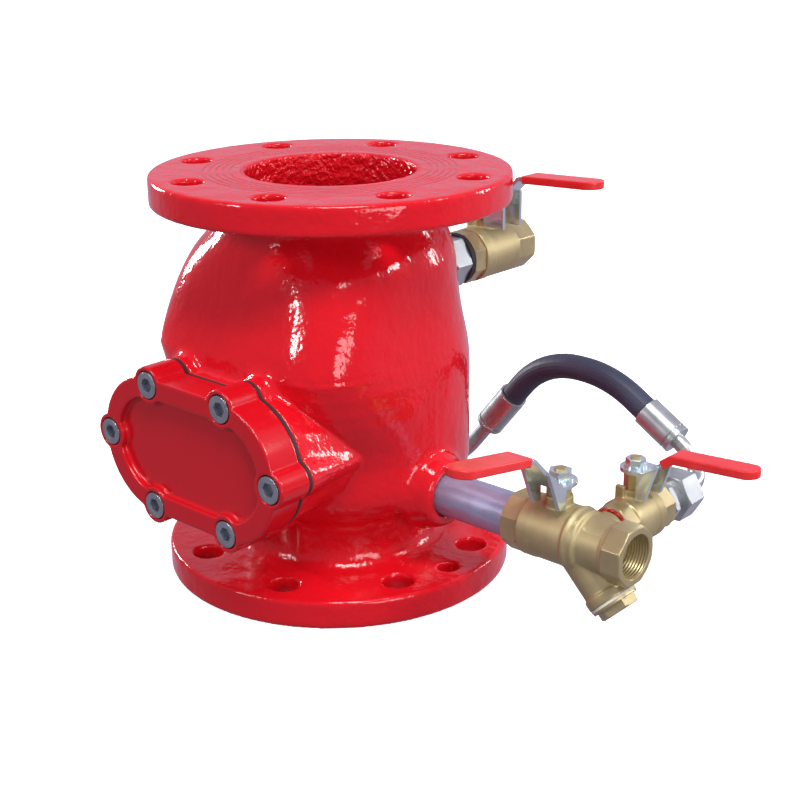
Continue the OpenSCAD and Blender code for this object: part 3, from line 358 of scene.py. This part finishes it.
def red_enamel(name, colour, peel, lumps, sand):
    """Thick gloss paint with orange peel, casting lumps and as much sand grain as sand(...) says.
    Gives the finish, its colour, its height and its cloud."""
    paint = Finish(name, IOR=1.5)
    cloud = paint.noise(9.0, 3.0)
    height = (paint.noise(260.0, 1.5) * peel + paint.noise(60.0, 1.0) * lumps
              + paint.noise(800.0, 1.0) * sand(paint, cloud))
    return paint, paint.mix(cloud, shade(colour, 0.82), colour), height, cloud


SAND_TOP, SAND_FADE = 125 * mm, 40 * mm


def sandy_neck(paint, cloud):
    """The hand-hole neck and the lower barrel keep the grain of the mould."""
    low = ((SAND_TOP - paint.z) / SAND_FADE).maths("MINIMUM", 1.0).maths("MAXIMUM", 0.0)
    return low * cloud * 0.6


body_paint, body_colour, body_height, body_cloud = red_enamel(
    "red_enamel", srgb(232, 20, 34), peel=1.1, lumps=3.2, sand=sandy_neck)
from_axis = (body_paint.x * body_paint.x + body_paint.y * body_paint.y) ** 0.5

# The enamel in the upper bore is gritty, and five turned grooves ring the bore on the upper face.
GRIT_FROM_Z, GRIT_RISE = 140 * mm, 9.0
in_bore = (from_axis < BORE_R + 3 * mm) * (body_paint.z > GRIT_FROM_Z)
GROOVES, GROOVE_PITCH, FIRST_GROOVE, GROOVE_CUT = 5.0, 4 * mm, BORE_R + 9 * mm, 3.0
groove_place = (from_axis - FIRST_GROOVE) / GROOVE_PITCH + 0.5
groove_near = (groove_place - groove_place.maths("FLOOR") - 0.5).maths("ABSOLUTE")
on_grooves = (groove_place > 0.0) * (groove_place < GROOVES) * (body_paint.z > BODY_H - 1.5 * mm)
groove = on_grooves * (1 - (groove_near / 0.2).maths("MINIMUM", 1.0))
body_height = (body_height + in_bore * body_paint.noise(240.0, 2.0) * GRIT_RISE
               - groove * GROOVE_CUT)
body_paint.feed(Base_Color=body_colour, Roughness=body_cloud * 0.05 + 0.09,
                Normal=body_paint.bump(body_height, PAINT_STRENGTH, PAINT_DEPTH))
body_paint.on(body_skin)


# Hand-hole cover: a dished iron casting in the same enamel, with a sunk panel and six screw lobes.
# It is drawn onto a rubber gasket by zinc-plated socket-head screws.
def evenly(share):
    """The same softness at every point."""
    return lambda p: np.full(len(p), share)


cover_skin = cast_skin("hand_hole_cover", voxel=0.7 * mm, rounds=4, softness=evenly(1.0))
cover_paint, cover_colour, cover_height, cover_cloud = red_enamel(
    "cover_enamel", srgb(216, 17, 30), peel=0.22, lumps=0.8, sand=lambda paint, cloud: cloud * 0.12)
cover_paint.feed(Base_Color=cover_colour, Roughness=cover_cloud * 0.08 + 0.14,
                 Normal=cover_paint.bump(cover_height, PAINT_STRENGTH, PAINT_DEPTH))
cover_paint.on(cover_skin)


def plated_metal(name, colour, rough, edge, grain_scale, grain_depth, spread=0.1, bare=1.0):
    """Plated or machined metal: uneven shine, fine grain and edges broken by edge metres."""
    metal = Finish(name, Metallic=bare)
    cloud = metal.noise(120.0, 4.0)
    grain = metal.noise(grain_scale, 3.0)
    metal.feed(Base_Color=metal.mix(cloud, shade(colour, 1 - 2 * spread), colour),
               Roughness=cloud * spread + rough,
               Normal=metal.bump(grain, 0.4, grain_depth, edge))
    return metal


screw_zinc = plated_metal("screw_zinc", srgb(206, 212, 220), rough=0.18, edge=0.8 * mm,
                          grain_scale=500.0, grain_depth=0.08 * mm, spread=0.2, bare=0.9)
screw_zinc.on("cover_screws")


def rubber(name, colour, rough, grain_scale, grain_depth):
    """Black rubber with a fine moulded grain and dusty patches."""
    gum = Finish(name, Specular_IOR_Level=0.4)
    cloud = gum.noise(60.0, 4.0)
    gum.feed(Base_Color=gum.mix(cloud, colour, shade(colour, 1.7, lift=0.004)),
             Roughness=cloud * 0.2 + rough,
             Normal=gum.bump(gum.noise(grain_scale, 3.0), 0.4, grain_depth))
    return gum


gasket_rubber = rubber("gasket_rubber", srgb(40, 36, 38), rough=0.55, grain_scale=1200.0,
                       grain_depth=0.1 * mm)
gasket_rubber.on("cover_gasket")

# Seat and clapper: a bronze seat pressed into the body, and a bronze clapper that swings on a steel
# pin in brass bushes. A bolt and nut hold the rubber facing and its retainer under the disc.
bronze = plated_metal("turned_bronze", srgb(176, 128, 78), rough=0.28, edge=0.4 * mm,
                      grain_scale=700.0, grain_depth=0.06 * mm)
bronze.on("seat_ring", "clapper", "facing_retainer")
clapper_steel = plated_metal("clapper_steel", srgb(150, 152, 156), rough=0.3, edge=0.4 * mm,
                             grain_scale=900.0, grain_depth=0.05 * mm)
clapper_steel.on("clapper_bolt", "clapper_nut", "hinge_pin")
gasket_rubber.on("clapper_facing")
BRASS = srgb(206, 190, 142)


def cast_brass(name, machined, thread=None):
    """Blasted brass with a matt grain, smoother where machined(finish) is 1."""
    metal = Finish(name, Metallic=0.72)
    smooth = machined(metal)
    cloud = metal.noise(110.0, 4.0)
    height = metal.noise(1400.0, 3.0) * (1 - smooth * 0.8)
    if thread:
        height = height + thread(metal)
    metal.feed(Base_Color=metal.mix(cloud, shade(BRASS, 0.72), BRASS),
               Roughness=cloud * 0.12 + 0.46 - smooth * 0.14,
               Normal=metal.bump(height, 0.5, 0.12 * mm, edge=0.4 * mm))
    return metal


machined_brass = cast_brass("machined_brass", lambda finish: 1.0)
machined_brass.on("hinge_bushes")

# Alarm line: a galvanised pipe nipple screwed into the body, then a brass ball valve cast in one
# with a Y-strainer. The castings are shot-blasted, and only the octagons and the mouth are machined.
PIPE_DRAW = (0.12, 1, 1)
pipe = Finish("galvanised_pipe", Metallic=0.45)
drawn = pipe.add("Mapping", {}, {"Vector": pipe.spot, "Scale": PIPE_DRAW})
pipe_cloud = pipe.noise(110.0, 5.0)
pipe_tone = pipe.noise(420.0, 4.0, drawn) * 0.6 + pipe_cloud * 0.4
pipe.feed(Base_Color=pipe.mix(pipe_tone, srgb(122, 128, 160), srgb(196, 204, 236)),
          Roughness=pipe_cloud * 0.25 + 0.24,
          Normal=pipe.bump(pipe_tone, 0.3, 0.15 * mm, edge=0.5 * mm))
pipe.on("alarm_nipple")

ALARM_Z, ALARM_MOUTH = 67 * mm, 229 * mm
ALARM_COLLAR = ALARM_MOUTH - 13 * mm
THREAD_PITCH, THREAD_RISE, THREAD_DEPTH, MOUTH_BEVEL = 1.8 * mm, 9.0, 0.8 * mm, 0.6 * mm


def strainer_softness(p):
    """Full on the cast skin, slight on the machined collar of the outlet."""
    collar = rise(p[:, 0], ALARM_COLLAR - 1 * mm, ALARM_COLLAR + 0.5 * mm)
    return np.maximum(1 - collar, 0.12)


def pipe_thread(along, side_a, side_b, radius, mouth, length):
    """Height of an internal pipe thread: along runs out of its mouth, side_a and side_b across."""
    place = along / THREAD_PITCH + side_a.maths("ARCTAN2", side_b) / (2 * math.pi)
    crest = (place - place.maths("FLOOR") - 0.5).maths("ABSOLUTE") * 2.0
    across = (side_a * side_a + side_b * side_b) ** 0.5
    in_hole = ((across < radius + THREAD_DEPTH) * (along > mouth - length)
               * (along < mouth - MOUTH_BEVEL))
    return crest * in_hole * THREAD_RISE


def alarm_thread(finish):
    return pipe_thread(finish.x, finish.z - ALARM_Z, finish.y, radius=13 * mm, mouth=ALARM_MOUTH,
                       length=16 * mm)


strainer_skin = cast_skin("strainer_body", voxel=0.5 * mm, rounds=8, softness=strainer_softness)
strainer_brass = cast_brass("strainer_brass", lambda finish: finish.x > ALARM_COLLAR, alarm_thread)
strainer_brass.on(strainer_skin)
machined_brass.on("alarm_tailpiece", "strainer_cap", "alarm_stem", "alarm_gland_nut")

# Balls and screen: bright plated brass balls turn between white plastic seats inside the valves,
# and a steel screen stands in the strainer behind a plastic gasket.
chrome = plated_metal("bright_chrome", srgb(222, 236, 240), rough=0.14, edge=0.5 * mm,
                      grain_scale=300.0, grain_depth=0.05 * mm, spread=0.05, bare=0.85)
chrome.on("alarm_ball", "test_ball", "drain_ball", "strainer_screen")
seat_plastic = Finish("seat_plastic", Specular_IOR_Level=0.3)
seat_cloud = seat_plastic.noise(200.0, 3.0)
seat_plastic.feed(Base_Color=seat_plastic.mix(seat_cloud, srgb(216, 208, 184), srgb(238, 232, 214)),
                  Roughness=seat_cloud * 0.2 + 0.45)
seat_plastic.on("alarm_ball_seats", "test_ball_seats", "drain_ball_seats", "strainer_cap_gasket")

# Levers: bright plated sheet steel, each bent up from its hub and held on its stem by a nut. A soft
# vinyl sleeve, glossy and rounded at every edge, is dipped or pushed over each handle.
chrome.on("alarm_lever", "test_lever", "drain_lever",
          "alarm_lever_nut", "test_lever_nut", "drain_lever_nut")
vinyl = Finish("red_vinyl", IOR=1.5)
vinyl_cloud = vinyl.noise(70.0, 3.0)
vinyl.feed(Base_Color=vinyl.mix(vinyl_cloud, srgb(220, 34, 38), srgb(246, 58, 56)),
           Roughness=vinyl_cloud * 0.1 + 0.16,
           Normal=vinyl.bump(vinyl_cloud, 0.3, 0.2 * mm))
for line in ("alarm", "test", "drain"):
    sleeve_skin = cast_skin(line + "_lever_sleeve", voxel=0.4 * mm, rounds=8, softness=evenly(1.0))
    vinyl.on(sleeve_skin)

# Test line: a smaller brass ball valve on the strainer's side branch. It is screwed on with a short
# pipe nipple, and red thread sealant has set in a lumpy ring round the joint.
TEST_COLLAR_Y = 34 * mm
test_skin = cast_skin("test_valve_body", voxel=0.45 * mm, rounds=6, softness=evenly(0.6))
cast_brass("test_valve_brass", lambda finish: finish.y < TEST_COLLAR_Y).on(test_skin)
machined_brass.on("test_tailpiece", "test_stem", "test_gland_nut")
pipe.on("test_nipple")
sealant = Finish("red_sealant", IOR=1.5)
sealant_cloud = sealant.noise(300.0, 3.0)
sealant.feed(Base_Color=sealant.mix(sealant_cloud, srgb(140, 10, 16), srgb(214, 30, 36)),
             Roughness=sealant_cloud * 0.2 + 0.2,
             Normal=sealant.bump(sealant_cloud, 0.8, 0.5 * mm))
LUMP_RISE = 0.22 * mm
LUMP_WAVES = (((900, 400, -1300), 0.4), ((-1500, 700, 800), 1.9), ((600, -1100, 1900), 3.1))
seal_skin = cast_skin("test_thread_seal", voxel=0.3 * mm, rounds=4, softness=evenly(1.0))
spots = read_rows(seal_skin.data.vertices, "co")
outward = read_rows(seal_skin.data.vertex_normals, "vector")
lump = sum(np.sin(spots @ np.array(wave) + shift) for wave, shift in LUMP_WAVES)
move_points(seal_skin.data, spots + outward * lump[:, None] * LUMP_RISE)
sealant.on(seal_skin)

# Hose: a rubber hose between two crimped ferrules, from the test valve back to a port behind the
# body. Swivel nuts draw its bent steel tubes onto their adapters, all bright zinc plated.
zinc = plated_metal("bright_zinc", srgb(206, 212, 212), rough=0.24, edge=0.5 * mm,
                    grain_scale=500.0, grain_depth=0.06 * mm, spread=0.14, bare=0.85)
zinc.on("test_hose_adapter", "body_hose_adapter", "hose_nut_front", "hose_nut_rear",
        "hose_elbow_front", "hose_elbow_rear", "hose_ferrule_front", "hose_ferrule_rear")
hose_rubber = rubber("hose_rubber", srgb(46, 50, 68), rough=0.40, grain_scale=700.0,
                     grain_depth=0.25 * mm)
hose_rubber.on("test_hose")

# Drain line: a second large brass ball valve behind the body. A zinc-plated hexagon nipple screws
# it into the body's boss, with a rubber ring between.
DRAIN_Z, DRAIN_MOUTH, DRAIN_COLLAR_Y = 175.5 * mm, 184.5 * mm, 166 * mm


def drain_thread(finish):
    return pipe_thread(finish.y, finish.z - DRAIN_Z, finish.x, radius=13.5 * mm, mouth=DRAIN_MOUTH,
                       length=13 * mm)


drain_skin = cast_skin("drain_valve_body", voxel=0.5 * mm, rounds=6, softness=evenly(0.6))
drain_brass = cast_brass("drain_valve_brass", lambda finish: finish.y > DRAIN_COLLAR_Y, drain_thread)
drain_brass.on(drain_skin)
machined_brass.on("drain_tailpiece", "drain_stem", "drain_gland_nut")
zinc.on("drain_nipple")
gasket_rubber.on("drain_seal_ring")
